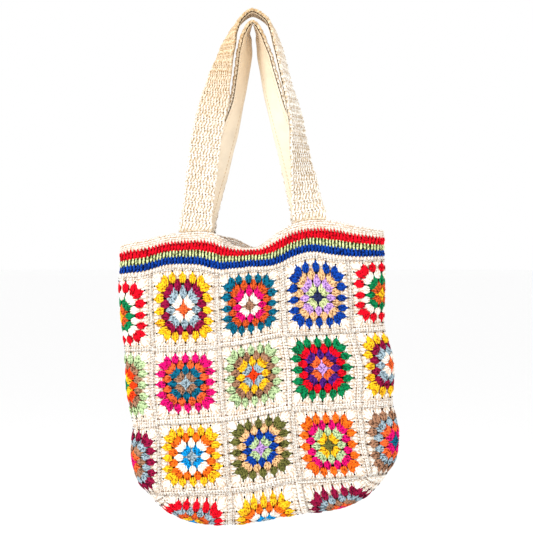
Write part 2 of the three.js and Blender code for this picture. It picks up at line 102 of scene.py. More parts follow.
# The wavy top edge round the bag: the lean is in degrees.
EDGE_NAMES = ("at", "lift", "height", "lean")
TOP_EDGE = (
    (0.0, 0, 0.88, 0),
    (0.3, 0, 1, 0),
    (0.8, 0.8, 0.98, 0),
    (1.2, 0.5, 1.05, 0),
    (1.46, -0.3, 1.14, 0),
    (1.58, -0.5, 1.03, 4),
    (1.72, -0.4, 1, 62),
    (1.86, -0.4, 1, 79),
    (2.02, -0.3, 1, 90),
    (2.15, -0.4, 1, 84),
    (2.32, -0.4, 1, 45),
    (2.48, -0.1, 1.05, 0),
    (2.65, 0.6, 1.04, 0),
    (2.95, 1.2, 1.01, 0),
    (3.3, 0.5, 1.1, 0),
    (3.7, 0, 0.97, 0),
    (4.1, -0.1, 0.83, 0),
    (4.5, 0, 0.97, 0),
    (4.9, 0.8, 1, 0),
    (5.25, 1, 1, 0),
    (5.6, -0.3, 1.04, 0),
    (6.03, -1.3, 1, 64),
    (6.45, -0.4, 1.04, 0),
    (6.85, 0.7, 1.02, 0),
    (7.3, 0.5, 1, 0),
    (7.7, 0, 1.03, 0),
    (8.0, 0, 0.88, 0),
)

# Each leg of a handle, from the hanging point to its root.
LEG_NAMES = ("down", "out", "depth", "seen")
FRONT_LEFT_LEG = (
    (0.036, 0.182, 0.04, 0.05),
    (0.08, 0.281, 0.12, 0.2),
    (0.17, 0.393, 0.26, 0.46),
    (0.31, 0.532, 0.5, 0.75),
    (0.4, 0.605, 0.64, 0.95),
    (0.58, 0.76, 0.82, 1),
    (0.77, 0.87, 0.94, 1),
)
FRONT_RIGHT_LEG = (
    (0.047, 0.35, 0.04, 0.03),
    (0.096, 0.46, 0.12, 0.13),
    (0.192, 0.57, 0.28, 0.22),
    (0.337, 0.69, 0.46, 0.25),
    (0.53, 0.845, 0.66, 0.43),
    (0.72, 0.885, 0.85, 0.66),
    (0.816, 0.92, 0.93, 0.86),
    (0.912, 0.945, 0.98, 0.98),
)
BACK_LEFT_LEG = (
    (0.04, 0.1, 0.04, 0.05),
    (0.088, 0.13, 0.1, 0.28),
    (0.16, 0.165, 0.22, 0.42),
    (0.28, 0.243, 0.36, 0.38),
    (0.377, 0.315, 0.5, 0.35),
    (0.568, 0.515, 0.76, 0.6),
    (0.758, 0.735, 0.92, 0.85),
    (0.949, 0.945, 1, 1),
)
BACK_RIGHT_LEG = (
    (0.044, 0.13, 0.04, 0.05),
    (0.096, 0.18, 0.1, 0.22),
    (0.197, 0.259, 0.26, 0.42),
    (0.399, 0.415, 0.5, 0.57),
    (0.602, 0.64, 0.78, 0.8),
    (0.754, 0.785, 0.92, 0.94),
    (0.931, 0.92, 1, 1),
)
HANDLES = {
    "front": {
        "left_root": 1.175,
        "right_root": 2.96,
        "left": FRONT_LEFT_LEG,
        "right": FRONT_RIGHT_LEG,
        "facing": -1,
        "rest_lean": 0,
    },
    "back": {
        "left_root": 6.85,
        "right_root": 5.22,
        "left": BACK_LEFT_LEG,
        "right": BACK_RIGHT_LEG,
        "facing": 1,
        "rest_lean": -0.14,
    },
}

# Yarn colours, each with the painted shade colour it takes between the stitches
YARNS = {
    "cream": ("F4ECE1", "D9C1A8"),
    # These colours are painted shade: under the cream, between the strap's stitches, in the small
    # holes, and the shadow under the coloured rounds and in the holes.
    "cream_shade": ("EADCCB", "CFB498"),
    "strap_gap_shade": ("DDCBB0", "BFA583"),
    "pinhole_shade": ("A07050", "6A3E24"),
    "shadow": ("1C100A", "0C0604"),
    "red": ("DC041E", "7C0008"),
    "red_shade": ("AC0014", "6C0008"),
    "blue_shade": ("021048", "010824"),
    "green_shade": ("34381A", "161808"),
    "leaf_green": ("047A47", "012817"),
    "rust": ("CC5220", "5A1606"),
    "golden_yellow": ("F2B81C", "8E4208"),
    "maroon": ("8C0E3A", "24020C"),
    "pale_grey": ("96AAB4", "26333A"),
    "teal": ("04607C", "011A24"),
    "magenta": ("DC0A6C", "5A0228"),
    "taupe": ("9C7258", "382014"),
    "navy": ("282E58", "080A18"),
    "pale_lime": ("CAD49A", "5A6428"),
    "lilac": ("BE94D2", "44245E"),
    "tan": ("DEB280", "7A4C24"),
    "royal_blue": ("083C98", "020836"),
    "coral": ("E6602C", "6A1A06"),
    "purple": ("481C76", "12041F"),
    "sage": ("B0C694", "3A4C26"),
    "turquoise": ("058ED0", "02283E"),
    "olive": ("646430", "1C1C0A"),
    "red_orange": ("F43C0C", "7A1002"),
    "bright_orange": ("F66A16", "7E2602"),
}

# After the five coloured rounds: the sixth round, the painted shadow in the holes and under
# the coloured rounds, the painted shade of the ground under the cream and of the small holes at the
# seams
GROUND_YARNS = ("cream", "shadow", "cream_shade", "pinhole_shade")

# The five coloured rounds of each square, from the middle outwards
SCHEMES = {
    "cherry": ("golden_yellow", "rust", "leaf_green", "cream", "red"),
    "plum": ("coral", "cream", "pale_grey", "maroon", "golden_yellow"),
    "lagoon": ("taupe", "cream", "magenta", "rust", "teal"),
    "night": ("navy", "pale_lime", "lilac", "tan", "royal_blue"),
    "meadow": ("leaf_green", "golden_yellow", "red_orange", "taupe", "sage"),
    "fuchsia": ("pale_grey", "taupe", "teal", "coral", "magenta"),
    "sunny": ("red_orange", "pale_grey", "golden_yellow", "taupe", "sage"),
    "violet": ("lilac", "coral", "purple", "red", "leaf_green"),
    "berry": ("magenta", "coral", "taupe", "pale_grey", "maroon"),
    "beach": ("pale_grey", "turquoise", "cream", "bright_orange", "golden_yellow"),
    "forest": ("lilac", "sage", "royal_blue", "tan", "olive"),
    "garden": ("olive", "golden_yellow", "sage", "magenta", "bright_orange"),
    "harbour": ("teal", "magenta", "coral", "pale_grey", "taupe"),
    "cove": ("turquoise", "golden_yellow", "rust", "pale_grey", "red"),
}


def linear(code):
    """An sRGB hex colour as linear red, green, blue and alpha."""
    parts = [int(code[i : i + 2], 16) / 255 for i in (0, 2, 4)]
    return [c / 12.92 if c <= 0.04045 else ((c + 0.055) / 1.055) ** 2.4 for c in parts] + [1]


def table(names, rows):
    """A table as its columns by name."""
    return dict(zip(names, np.array(rows, float).T))


LEVEL_TABLE = table(LEVEL_NAMES, LEVELS)
EDGE_TABLE = table(EDGE_NAMES, TOP_EDGE)


def column(columns, name, at):
    """The value of one column at places between its rows, on a smooth curve with no overshoot."""
    xs, ys = columns["at"], columns[name]
    steps = np.diff(xs)
    rise = np.diff(ys) / steps
    before, after = rise[:-1], rise[1:]
    same_way = before * after > 0
    inner = np.where(same_way, 2 * before * after / np.where(same_way, before + after, 1), 0)
    slopes = np.concatenate([rise[:1], inner, rise[-1:]])
    i = np.clip(np.searchsorted(xs, at, side="right") - 1, 0, len(xs) - 2)
    s = np.clip((at - xs[i]) / steps[i], 0, 1)
    near = (2 * s**3 - 3 * s**2 + 1) * ys[i] + (s**3 - 2 * s**2 + s) * slopes[i] * steps[i]
    far = (3 * s**2 - 2 * s**3) * ys[i + 1] + (s**3 - s**2) * slopes[i + 1] * steps[i]
    return near + far


def smooth(value, low, high):
    """0 up to the low value, 1 from the high one on, and an eased share between them."""
    share = np.clip((value - low) / (high - low), 0, 1)
    return share * share * (3 - 2 * share)


def unit(vectors):
    """Directions: the vectors brought to a length of one."""
    return vectors / np.maximum(np.linalg.norm(vectors, axis=-1, keepdims=True), 1e-12)


def half_section(half_width, depth):
    """One half of the body's section, a flattened oval, with the distance along it."""
    across = -np.cos(np.linspace(0, math.pi, SECTION_STEPS + 1))
    xs = half_width * across
    ys = depth * np.sqrt(1 - np.abs(across) ** FOLD_POWER)
    lengths = np.concatenate([[0], np.cumsum(np.hypot(np.diff(xs), np.diff(ys)))])
    return xs, ys, lengths


def share_across(place, left_seam, right_seam):
    """How far across the body a place lies, from 0 at the left fold to 1 at the right."""
    last_seam = FIRST_COLUMN + COLUMNS
    back_seam = right_seam * (last_seam + 1 - RIGHT_FOLD) / (RIGHT_FOLD - last_seam)
    front = np.interp(
        place, [0, FIRST_COLUMN, last_seam, RIGHT_FOLD], [0, left_seam, 1 - right_seam, 1]
    )
    back = np.interp(
        place, [RIGHT_FOLD, last_seam + 1, ROUND - FIRST_COLUMN, ROUND],
        [1, 1 - back_seam, left_seam, 0],
    )
    return np.where(place <= RIGHT_FOLD, front, back)


def body_row(places, down):
    """The points round the body at one level, without the puff of the squares."""
    level = {name: float(column(LEVEL_TABLE, name, down)) for name in LEVEL_NAMES[1:]}
    left, right = level["left"] * SQUARE, level["right"] * SQUARE
    wrapped = np.mod(places, ROUND)
    is_front = wrapped <= RIGHT_FOLD
    share = share_across(wrapped, level["left_seam"], level["right_seam"])
    across, forward = np.zeros(len(places)), np.zeros(len(places))
    for side, depth, turn in (
        (is_front, level["front"] * FRONT_DEPTH, -1),
        (~is_front, level["back"] * BACK_DEPTH, 1),
    ):
        xs, ys, lengths = half_section((right - left) / 2, depth)
        across[side] = np.interp(share[side] * lengths[-1], lengths, xs) + (left + right) / 2
        forward[side] = turn * np.interp(share[side] * lengths[-1], lengths, ys)
    lift = column(EDGE_TABLE, "lift", wrapped) * WAVE_LIFT
    height = np.full(len(places), SQUARES_TOP)
    if down < 0:
        length = BAND_HEIGHT * column(EDGE_TABLE, "height", wrapped)
        lean = np.maximum(np.radians(column(EDGE_TABLE, "lean", wrapped)), 1e-4)
        height += lift + length * np.sin(lean * -down) / lean
        forward += length * (1 - np.cos(lean * -down)) / lean
    else:
        in_squares = across / SQUARE
        step = smooth(in_squares, -0.5, 0.5) - 0.5 - STEP_EASE * in_squares
        settled = smooth(down, 0, 1)
        height += lift * (1 - settled) - level["drop"] * SQUARE + step * COLUMN_STEP * settled
    return np.stack([BODY_SHIFT + across, forward, height], axis=-1)


def tilted(points):
    """Points or directions turned with the bag, which hangs with its right side higher."""
    x, y, z = points[..., 0], points[..., 1], points[..., 2]
    cos, sin = math.cos(TILT), math.sin(TILT)
    return np.stack([x * cos - z * sin, y, x * sin + z * cos], axis=-1)


class Surface:
    """A curved form, known at an even grid of places, that flat fabric is laid onto."""

    def __init__(self, points, facings, starts, steps):
        self.points, self.facings = points, facings
        self.starts, self.steps = starts, steps

    def at(self, first, second):
        """Points and facings at places along the first and second count."""
        rows, columns = self.points.shape[:2]
        col = np.clip((first - self.starts[0]) / self.steps[0], 0, columns - 1.001)
        row = np.clip((second - self.starts[1]) / self.steps[1], 0, rows - 1.001)
        c, r = col.astype(int), row.astype(int)
        s, t = (col - c)[:, None], (row - r)[:, None]

        def blend(grid):
            upper = grid[r, c] * (1 - s) + grid[r, c + 1] * s
            lower = grid[r + 1, c] * (1 - s) + grid[r + 1, c + 1] * s
            return upper * (1 - t) + lower * t

        return blend(self.points), unit(blend(self.facings))


def facings_of(points, closed=False):
    """The outward directions of a grid of points, from its slopes."""
    if closed:
        points = np.concatenate([points[:, -3:-1], points, points[:, 1:3]], axis=1)
    along = np.gradient(points, axis=1)
    down = np.gradient(points, axis=0)
    facings = unit(np.cross(down, along))
    return facings[:, 2:-2] if closed else facings


def body_surface():
    """The body and, above it, the bands."""
    places = np.linspace(0, ROUND, ROUND * GRID + 1)
    downs = np.linspace(-1, ROWS, (ROWS + 1) * GRID + 1)
    points = np.stack([body_row(places, down) for down in downs])
    facings = facings_of(points, closed=True)
    proud = np.abs(
        np.sin(math.pi * (places[None, :] - FIRST_COLUMN)) * np.sin(math.pi * downs[:, None])
    )
    proud = proud * (downs[:, None] > 0) * SQUARE_PUFF
    return Surface(points + facings * proud[..., None], facings, (0, -1), (1 / GRID, 1 / GRID))


def bottom_surface(body):
    """The bottom hangs between the four lower edges of the body, folded along its middle."""
    along = np.linspace(0, COLUMNS, COLUMNS * GRID + 1)
    across = np.linspace(0, 1, GRID + 1)
    a, v = along[None, :] / COLUMNS, across[:, None]

    def edge(places):
        points, facings = body.at(np.mod(places, ROUND), np.full(len(places), float(ROWS)))
        return points, facings

    front, front_facing = edge(FIRST_COLUMN + along)
    back, back_facing = edge(ROUND - FIRST_COLUMN - along)
    left, left_facing = edge(FIRST_COLUMN - across)
    right, right_facing = edge(FIRST_COLUMN + COLUMNS + across)
    a3, v3 = a[..., None], v[..., None]
    points = front * (1 - v3) + back * v3 + left[:, None] * (1 - a3) + right[:, None] * a3
    corners = (front[0] * (1 - a3) + front[-1] * a3) * (1 - v3)
    corners = corners + (back[0] * (1 - a3) + back[-1] * a3) * v3
    points = points - corners
    drop = (1 - np.abs(2 * v - 1) ** BOTTOM_ROUND) * (1 - np.abs(2 * a - 1) ** BOTTOM_SQUARENESS)
    points[..., 2] -= BOTTOM_DROP * drop
    facings = facings_of(points) * OWN_NORMAL_WEIGHT
    reach = 1e-3  # keeps the seams' own weight finite
    facings = facings + front_facing[None] / np.maximum(v3, reach)
    facings = facings + back_facing[None] / np.maximum(1 - v3, reach)
    facings = facings + left_facing[:, None] / np.maximum(a3, reach)
    facings = unit(facings + right_facing[:, None] / np.maximum(1 - a3, reach))
    proud = np.abs(np.sin(math.pi * along[None, :]) * np.sin(math.pi * v)) * SQUARE_PUFF
    return Surface(points + facings * proud[..., None], facings, (0, 0), (1 / GRID, 1 / GRID))


def rim_edge(body, places):
    """The middle of the rim's thickness, with its facing: the handles grow out of it."""
    at_rim = np.full(len(places), -1.0)
    point, facing = body.at(np.mod(places, ROUND), at_rim)
    below, _ = body.at(np.mod(places, ROUND), at_rim + 0.02)
    return point - facing * WALL / 2 + unit(point - below) * SEAM_GAP, facing


def handle_rows(body, handle):
    """Points down both legs of a handle, with the share of its width that is seen."""
    first = LINING_THICKNESS + LINING_GAP + STRAP_THICKNESS / 2
    over = 0 if handle["facing"] > 0 else HANDLE_REST + LINING_THICKNESS + STRAP_THICKNESS
    top = first + over
    roots, _ = rim_edge(body, np.array([handle["left_root"], handle["right_root"]]))
    legs = []
    for root, rows in zip(roots, (handle["left"], handle["right"])):
        leg = table(LEG_NAMES, rows)
        height = top + (root[2] - top) * leg["down"]
        points = np.stack([root[0] * leg["out"], root[1] * leg["depth"], height], axis=-1)
        points = np.vstack([points, root])
        legs.append((points, np.append(leg["seen"], 1)))
    (left, left_seen), (right, right_seen) = legs
    points = np.vstack([left[::-1], [[0, 0, top]], right])
    return points, np.concatenate([left_seen[::-1], [handle["rest_lean"]], right_seen])


def spline(points, t):
    """A smooth curve through the points, at counts t along them."""
    padded = np.vstack([2 * points[0] - points[1], points, 2 * points[-1] - points[-2]])
    i = np.clip(t.astype(int), 0, len(points) - 2)
    p0, p1, p2, p3 = (padded[i + k] for k in range(4))
    d0, d1, d2 = (
        np.sqrt(np.linalg.norm(b - a, axis=-1))[:, None] for a, b in ((p0, p1), (p1, p2), (p2, p3))
    )
    start = ((p1 - p0) / d0 - (p2 - p0) / (d0 + d1) + (p2 - p1) / d1) * d1
    end = ((p2 - p1) / d1 - (p3 - p1) / (d1 + d2) + (p3 - p2) / d2) * d1
    s = (t - i)[:, None]
    near = (2 * s**3 - 3 * s**2 + 1) * p1 + (s**3 - 2 * s**2 + s) * start
    return near + (3 * s**2 - 2 * s**3) * p2 + (s**3 - s**2) * end


def handle_surface(body, handle):
    """The middle face of a handle: the first count runs across it from -1 to 1, the second
    along it from 0 to 1. Also gives its length."""
    rows, seen_rows = handle_rows(body, handle)
    t = np.linspace(0, len(rows) - 1, CURVE_STEPS + 1)
    curve = spline(rows, t)
    lengths = np.concatenate([[0], np.cumsum(np.linalg.norm(np.diff(curve, axis=0), axis=1))])
    even = np.linspace(0, lengths[-1], HANDLE_STEPS + 1)
    t = np.interp(even, lengths, t)
    middle = spline(rows, t)
    forward = unit(np.gradient(middle, axis=0))
    i = np.clip(t.astype(int), 0, len(rows) - 2)
    seen = seen_rows[i] + (seen_rows[i + 1] - seen_rows[i]) * smooth(t - i, 0, 1)
    outward = unit(np.stack([-forward[:, 2], 0 * seen, forward[:, 0]], axis=-1))
    across = outward * (handle["facing"] * seen)[:, None]
    across[:, 1] -= np.sqrt(1 - seen**2)
    face = unit(np.cross(across, forward))
    across = np.cross(forward, face)
    to_root = np.minimum(even, lengths[-1] - even)
    half = (STRAP_WIDTH + (ROOT_WIDTH - STRAP_WIDTH) * (1 - smooth(to_root, 0, ROOT_WIDTH / 2))) / 2
    places = np.linspace(-1, 1, STEPS_ACROSS + 1)
    points = middle[:, None] + across[:, None] * (half[:, None] * places)[..., None]
    facings = np.repeat(face[:, None], len(places), axis=1)
    for end, root, turn in ((0, handle["left_root"], 1), (-1, handle["right_root"], -1)):
        edge, outwards = rim_edge(body, root + turn * places * half[end] / SQUARE)
        fade = smooth(to_root, 0, ROOT_FADE)[:, None, None]
        near_end = (even < lengths[-1] / 2) if end == 0 else (even >= lengths[-1] / 2)
        shift = (edge - points[end])[None] * (1 - fade)
        points = points + shift * near_end[:, None, None]
        turned = unit(facings * fade + outwards[None] * (1 - fade))
        facings = np.where(near_end[:, None, None], turned, facings)
    steps = (places[1] - places[0], 1 / (len(even) - 1))
    return Surface(points, facings, (-1, 0), steps), lengths[-1]


# Materials


def node(tree, kind, settings=None, inputs=None, links=None):
    """Adds one shader node, with its settings, the values of its sockets and its links."""
    made = tree.nodes.new(kind)
    for name, value in (settings or {}).items():
        setattr(made, name, value)
    for name, value in (inputs or {}).items():
        made.inputs[name].default_value = value
    for name, source in (links or {}).items():
        tree.links.new(source, made.inputs[name])
    return made


PLIES = 3  # plies of the yarn seen round one stitch
PLY_TURNS = 2.2  # turns of the plies along one stitch
FIBRE_SCALE = 900  # a tuft of fibre is about 1 mm
SPECKLE_SCALE = 320  # the twist shows light and dark over 3 mm
CREASE_SCALE = 45  # creases in the cloth are about 2 cm apart
WHITEST = (0.93, 0.9, 0.84)  # the painted highlight of undyed cotton is never whiter than this
BEND_SHADE_FROM = -0.2  # painted shade starts at this height and is full at the hanging point
BEND_SHADE_FADE = -2.5  # how fast it fades to the right
MIX_SHARE, MIX_FIRST, MIX_SECOND, MIXED = 0, 6, 7, 2  # sockets of a mix of colours


def maths(tree, operation, *terms):
    """The result of a math node. Its terms are numbers or the outputs of other nodes."""
    numbers = {i: term for i, term in enumerate(terms) if isinstance(term, (int, float))}
    links = {i: term for i, term in enumerate(terms) if i not in numbers}
    return node(tree, "ShaderNodeMath", {"operation": operation}, numbers, links).outputs[0]


def mapped(tree, value, source=(0, 1), target=(0, 1), way="LINEAR"):
    """A value moved from one range to another, and held within it."""
    ends = dict(zip(("From Min", "From Max", "To Min", "To Max"), (*source, *target)))
    settings = {"interpolation_type": way}
    return node(tree, "ShaderNodeMapRange", settings, ends, {"Value": value}).outputs[0]


def noise(tree, place, scale, detail):
    """Soft chance variation from place to place, from 0 to 1."""
    inputs = {"Scale": scale, "Detail": detail}
    return node(tree, "ShaderNodeTexNoise", None, inputs, {"Vector": place}).outputs["Fac"]


def shades(tree, value, stops):
    """Colours by a value from 0 to 1, with a stop for each colour."""
    ramp = node(tree, "ShaderNodeValToRGB", links={"Fac": value})
    points = ramp.color_ramp.elements
    while len(points) < len(stops):
        points.new(0.5)
    for point, (at, colour) in zip(points, stops):
        point.position, point.color = at, [*colour[:3], 1]
    return ramp.outputs["Color"]


def mixed(tree, share, colour, other, blend="MIX"):
    """A colour with another mixed in by a share."""
    settings = {"data_type": "RGBA", "blend_type": blend}
    links = {MIX_SHARE: share, MIX_FIRST: colour}
    made = node(tree, "ShaderNodeMix", settings, {MIX_SECOND: linear(other)}, links)
    return made.outputs[MIXED]


def shaded_towards_bend(tree, place, colour, bend_shade, blend, reach):
    """Painted shade: the colour goes darker and browner towards the bend of the handles, and
    less so to the right, so that the right legs stay lighter."""
    at = node(tree, "ShaderNodeSeparateXYZ", links={"Vector": place})
    rightward = maths(tree, "MAXIMUM", at.outputs["X"], 0)
    level = maths(tree, "MULTIPLY_ADD", rightward, BEND_SHADE_FADE, at.outputs["Z"])
    bend_shade_share = mapped(tree, level, (BEND_SHADE_FROM, 0), (0, reach), "SMOOTHSTEP")
    return mixed(tree, bend_shade_share, colour, bend_shade, blend)


def fabric(name, roughness, sheen, gloss):
    """A new material, with its nodes, its shader and the object's own coordinates."""
    material = bpy.data.materials.new(name)
    material.use_nodes = True
    tree = material.node_tree
    shader = tree.nodes["Principled BSDF"]
    shader.inputs["Roughness"].default_value = roughness
    shader.inputs["Sheen Weight"].default_value = sheen
    shader.inputs["Specular IOR Level"].default_value = gloss
    return material, tree, shader, node(tree, "ShaderNodeTexCoord").outputs["Object"]


def map_counts(tree, name):
    """The two counts of a piece's own map."""
    uv = node(tree, "ShaderNodeUVMap", {"uv_map": name})
    split = node(tree, "ShaderNodeSeparateXYZ", links={"Vector": uv.outputs["UV"]})
    return split.outputs["X"], split.outputs["Y"]


def add_relief(tree, shader, height, strength, distance):
    """Fine relief that the light shows and the form doesn't have."""
    inputs = {"Strength": strength, "Distance": distance}
    bump = node(tree, "ShaderNodeBump", None, inputs, {"Height": height})
    tree.links.new(bump.outputs["Normal"], shader.inputs["Normal"])


def openness(tree, around, along, ply):
    """How open each place of a stitch is to the light. Its outer and inner face are open, and
    its flanks, its two ends and the grooves between its plies are shut in."""
    swing = maths(tree, "SINE", maths(tree, "MULTIPLY", around, math.tau))
    flank = mapped(tree, maths(tree, "ABSOLUTE", swing), (0.05, 0.8), way="SMOOTHSTEP")
    tucked = mapped(tree, maths(tree, "COMPARE", along, 0.5, 0.43), target=(0.45, 1))
    groove = mapped(tree, ply, (-1, 0), (0.55, 1))
    return maths(tree, "MULTIPLY", maths(tree, "MULTIPLY", flank, tucked), groove)


def worsted_yarn(name, code, painted_shade_code, bend_shade=None):
    """Spun and plied cotton yarn: dull, soft at grazing angles, with its plies in relief and
    its dye slightly uneven. Shade is painted into its colour on its flanks, at its ends and in its
    ply grooves, where stitches press together."""
    material, tree, shader, place = fabric(name, roughness=0.9, sheen=0.02, gloss=0.08)
    around, along = map_counts(tree, "yarn")
    turn = maths(tree, "MULTIPLY", around, PLIES * math.tau)
    turn = maths(tree, "MULTIPLY_ADD", along, PLY_TURNS * math.tau, turn)
    ply = maths(tree, "SINE", turn)
    # The shade value is painted shade and painted highlight, by how open each place is to the
    # light, plus a chance mottle of the dye.
    mottle = mapped(tree, noise(tree, place, SPECKLE_SCALE, 2), (0.41, 0.59), (0, 0.6))
    shade = maths(tree, "MULTIPLY_ADD", openness(tree, around, along, ply), 0.4, mottle)
    # The colour runs from painted shade through the yarn's own colour to a painted highlight on its
    # most open places.
    base, painted_shade = np.array(linear(code)), np.array(linear(painted_shade_code))
    between, painted_highlight = painted_shade * 0.4 + base * 0.6, base * 1.3
    painted_highlight[:3] = np.minimum(painted_highlight[:3], WHITEST)
    stops = ((0.24, painted_shade), (0.44, between), (0.6, base), (1.0, painted_highlight))
    colour = shades(tree, shade, stops)
    # Painted shade towards the bend of the handles.
    if bend_shade:
        colour = shaded_towards_bend(tree, place, colour, bend_shade, "MULTIPLY", 1)
    tree.links.new(colour, shader.inputs["Base Color"])
    height = maths(tree, "MULTIPLY_ADD", noise(tree, place, FIBRE_SCALE, 2), 0.5, ply)
    add_relief(tree, shader, height, strength=0.8, distance=0.0005)
    return material


THREAD_PITCH = 0.0007  # real cotton cloth has two threads a millimetre; drawn coarser to show
HEM = 0.006
HEM_STITCH = 0.006


def hem_stitches(tree, across, along):
    """A line of small stitches holds down the hem along both edges: 1 on a stitch, 0 beside."""
    line = STRAP_WIDTH / 2 - LINING_MARGIN - HEM
    on_line = maths(tree, "COMPARE", maths(tree, "ABSOLUTE", across), line, 0.0005)
    to_and_fro = maths(tree, "PINGPONG", along, HEM_STITCH / 2)
    in_stitch = maths(tree, "GREATER_THAN", to_and_fro, HEM_STITCH / 6)
    return maths(tree, "MULTIPLY", on_line, in_stitch)


def woven_cotton(name, code):
    """Plain woven cotton cloth: flat and matte, with a fine square weave and soft creases, and
    painted shade in the creases.
    """
    material, tree, shader, place = fabric(name, roughness=0.85, sheen=0.15, gloss=0.3)
    across, along = map_counts(tree, "cloth")
    threads = [
        maths(tree, "SINE", maths(tree, "MULTIPLY", way, math.tau / THREAD_PITCH))
        for way in (across, along)
    ]
    crease = noise(tree, place, CREASE_SCALE, 3)
    colour = np.array(linear(code))
    # Painted shade: the cloth is darker where the creases dip.
    cloth = shades(tree, crease, ((0.3, colour * 0.86), (0.7, colour)))
    # Painted shade towards the bend of the handles.
    cloth = shaded_towards_bend(tree, place, cloth, "C9A878", "MIX", 0.6)
    sewn = mixed(tree, hem_stitches(tree, across, along), cloth, "CDB08A")
    tree.links.new(sewn, shader.inputs["Base Color"])
    height = maths(tree, "MULTIPLY_ADD", crease, 6, maths(tree, "MULTIPLY", *threads))
    add_relief(tree, shader, height, strength=0.35, distance=0.0003)
    return material


yarns = {
    name: worsted_yarn(f"worsted_yarn_{name}", code, painted_shade)
    for name, (code, painted_shade) in YARNS.items()
}
# The strap yarn's third colour is its painted shade, and its last the painted shade towards the
# bend of the handles.
strap_yarn = worsted_yarn("worsted_yarn_strap", "E9E1D5", "CBB697", bend_shade="F0DBBC")
cotton = woven_cotton("woven_cotton_cloth", "F1E2CA")


# Stitches

SIDES = 6  # faces round one stitch
SEGMENTS = 5  # faces along one stitch
GROUND_THICKNESS = 0.0008
FABRIC_MIDDLE = -WALL / 2


def unroll(bm):
    """Gives a strand its own map: round it from its right flank, and along it from its foot."""
    uv = bm.loops.layers.uv.new("yarn")
    for face in bm.faces:
        middle = face.calc_center_median()
        own = math.atan2(middle.z, middle.x)
        for loop in face.loops:
            spot = loop.vert.co
            away = 0
            if math.hypot(spot.x, spot.z) > 1e-4:
                away = (math.atan2(spot.z, spot.x) - own + math.pi) % math.tau - math.pi
            loop[uv].uv = ((own + away) / math.tau, (spot.y + 1) / 2)


def as_mesh(bm, name):
    """The finished mesh, under its name."""
    mesh = bpy.data.meshes.new(name)
    bm.to_mesh(mesh)
    bm.free()
    return mesh


def spindle(bulge, bow, sides=SIDES, segments=SEGMENTS):
    """One strand of a stitch, a metre long and wide to be scaled, from (0, 0, 0) up +Y. It is
    drawn in at both ends and bows sideways by the bow."""
    bm = bmesh.new()
    bmesh.ops.create_uvsphere(
        bm, u_segments=sides, v_segments=segments, radius=1,
        matrix=Matrix.Rotation(-math.pi / 2, 4, "X"),
    )
    unroll(bm)
    for vert in bm.verts:
        along = vert.co.y
        thick = (1 - abs(along) ** bulge) / max(math.sqrt(max(1 - along**2, 0)), 1e-3)
        vert.co.x = vert.co.x * thick / 2 + bow * (1 - along**2)
        vert.co.z = vert.co.z * thick / 2
        vert.co.y = (along + 1) / 2
    return as_mesh(bm, "strand")


LEFT_STRAND = spindle(4.0, -0.5)
RIGHT_STRAND = spindle(4.0, 0.5)
POST = spindle(5.0, 0.0)
SPIKE = spindle(2.2, 0.0)
SMALL = spindle(2.5, 0.0, sides=5, segments=4)


chance = np.random.default_rng(7)  # handmade stitches are never quite alike


def uneven(spread, count=None):
    """Small chance deviations, as far as the spread to either side."""
    return chance.uniform(-spread, spread, count)


def add_strand(bm, shape, start, end, width, thick, height, slot, tilt=0.0):
    """Sets one strand flat from start to end, with its middle at a height. A tilt raises its
    start over its end."""
    first_vert, first_face = len(bm.verts), len(bm.faces)
    bm.from_mesh(shape)
    bm.verts.ensure_lookup_table()
    bm.faces.ensure_lookup_table()
    way = Vector(end) - Vector(start)
    turn = Matrix.Rotation(math.atan2(way.y, way.x) - math.pi / 2, 4, "Z")
    size = Matrix.Diagonal((width, way.length, thick, 1))
    size[2][1] = -tilt
    place = Matrix.Translation((start[0], start[1], height + tilt / 2))
    bmesh.ops.transform(bm, matrix=place @ turn @ size, verts=bm.verts[first_vert:])
    for face in bm.faces[first_face:]:
        face.material_index = slot
        face.smooth = True


def add_ground(bm, low, high, cuts, height, slot_of):
    """Sets a thin closed sheet under the stitches, so that no light shows between them."""
    first_vert, first_face = len(bm.verts), len(bm.faces)
    bmesh.ops.create_cube(bm, size=1)
    bm.verts.ensure_lookup_table()
    bm.faces.ensure_lookup_table()
    size = Matrix.Diagonal((high[0] - low[0], high[1] - low[1], GROUND_THICKNESS, 1))
    middle = ((low[0] + high[0]) / 2, (low[1] + high[1]) / 2, height)
    bmesh.ops.transform(bm, matrix=Matrix.Translation(middle) @ size, verts=bm.verts[first_vert:])
    for axis in (0, 1):
        normal = (1, 0, 0) if axis == 0 else (0, 1, 0)
        for i in range(1, cuts[axis]):
            at = low[axis] + (high[axis] - low[axis]) * i / cuts[axis]
            cut = [0, 0, 0]
            cut[axis] = at
            bm.faces.ensure_lookup_table()
            faces = bm.faces[first_face:]
            edges = {edge for face in faces for edge in face.edges}
            verts = {vert for face in faces for vert in face.verts}
            bmesh.ops.bisect_plane(
                bm, geom=list(verts) + list(edges) + list(faces), plane_co=cut, plane_no=normal,
            )
    bm.faces.ensure_lookup_table()
    for face in bm.faces[first_face:]:
        face.material_index = slot_of(face.calc_center_median())


